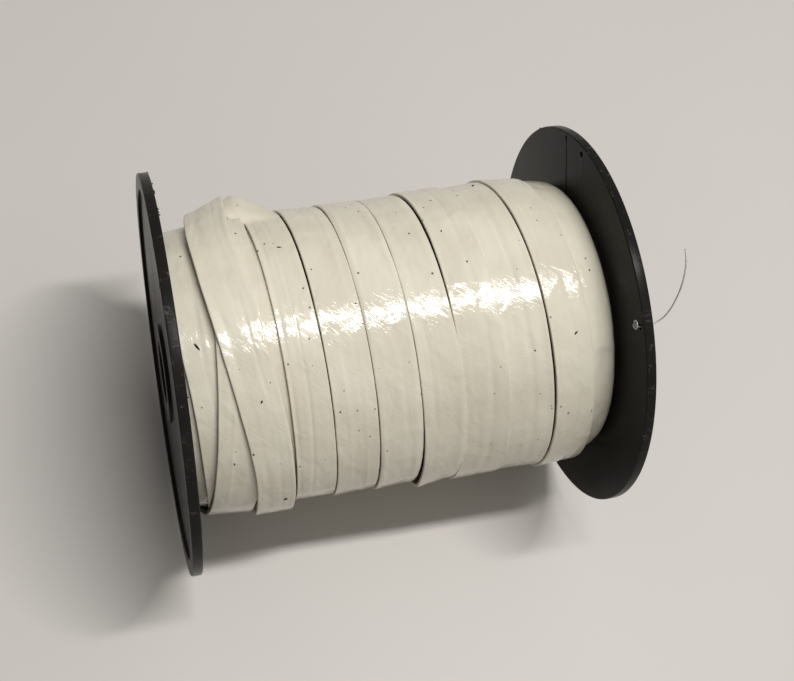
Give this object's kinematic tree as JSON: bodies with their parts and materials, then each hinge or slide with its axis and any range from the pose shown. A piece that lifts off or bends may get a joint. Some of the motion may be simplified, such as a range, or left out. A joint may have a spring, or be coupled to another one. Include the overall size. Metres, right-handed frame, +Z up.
{
  "type": "reel of flat plastic strip",
  "caption": "Reel with round black flanges on a hollow barrel, wound with flat cream plastic strip, with a loose crossing turn and a fine tie wire.",
  "frame": {"origin": "on the reel's axis, midway between the two flanges", "axes": "+X along the reel's axis towards the flange that the tie wire comes out of, +Z up as the reel lies on its two flanges, +Y away from the viewer"},
  "size_m": [0.1206, 0.1, 0.101],
  "materials": {
    "flange": "satin moulded black, slightly dusty and scuffed near the rim",
    "barrel": "plain extruded off-white tube, hidden under the winding",
    "strip": "glossy cream plastic with fine dimples and specks of black dust",
    "wire": "dull fine drawn wire"
  },
  "bodies": {
    "root": {"flange_left": "flange", "flange_right": "flange", "barrel": "barrel", "strip_layer_1": "strip", "strip_layer_2": "strip", "strip_layer_3": "strip", "strip_layer_4": "strip", "strip_turn_1": "strip", "strip_turn_2": "strip", "strip_turn_3": "strip", "strip_turn_4": "strip", "strip_turn_5": "strip", "strip_turn_6": "strip", "strip_turn_7": "strip", "strip_turn_8": "strip", "strip_turn_9": "strip", "strip_tail": "strip", "tie_wire": "wire"}
  },
  "joints": []
}
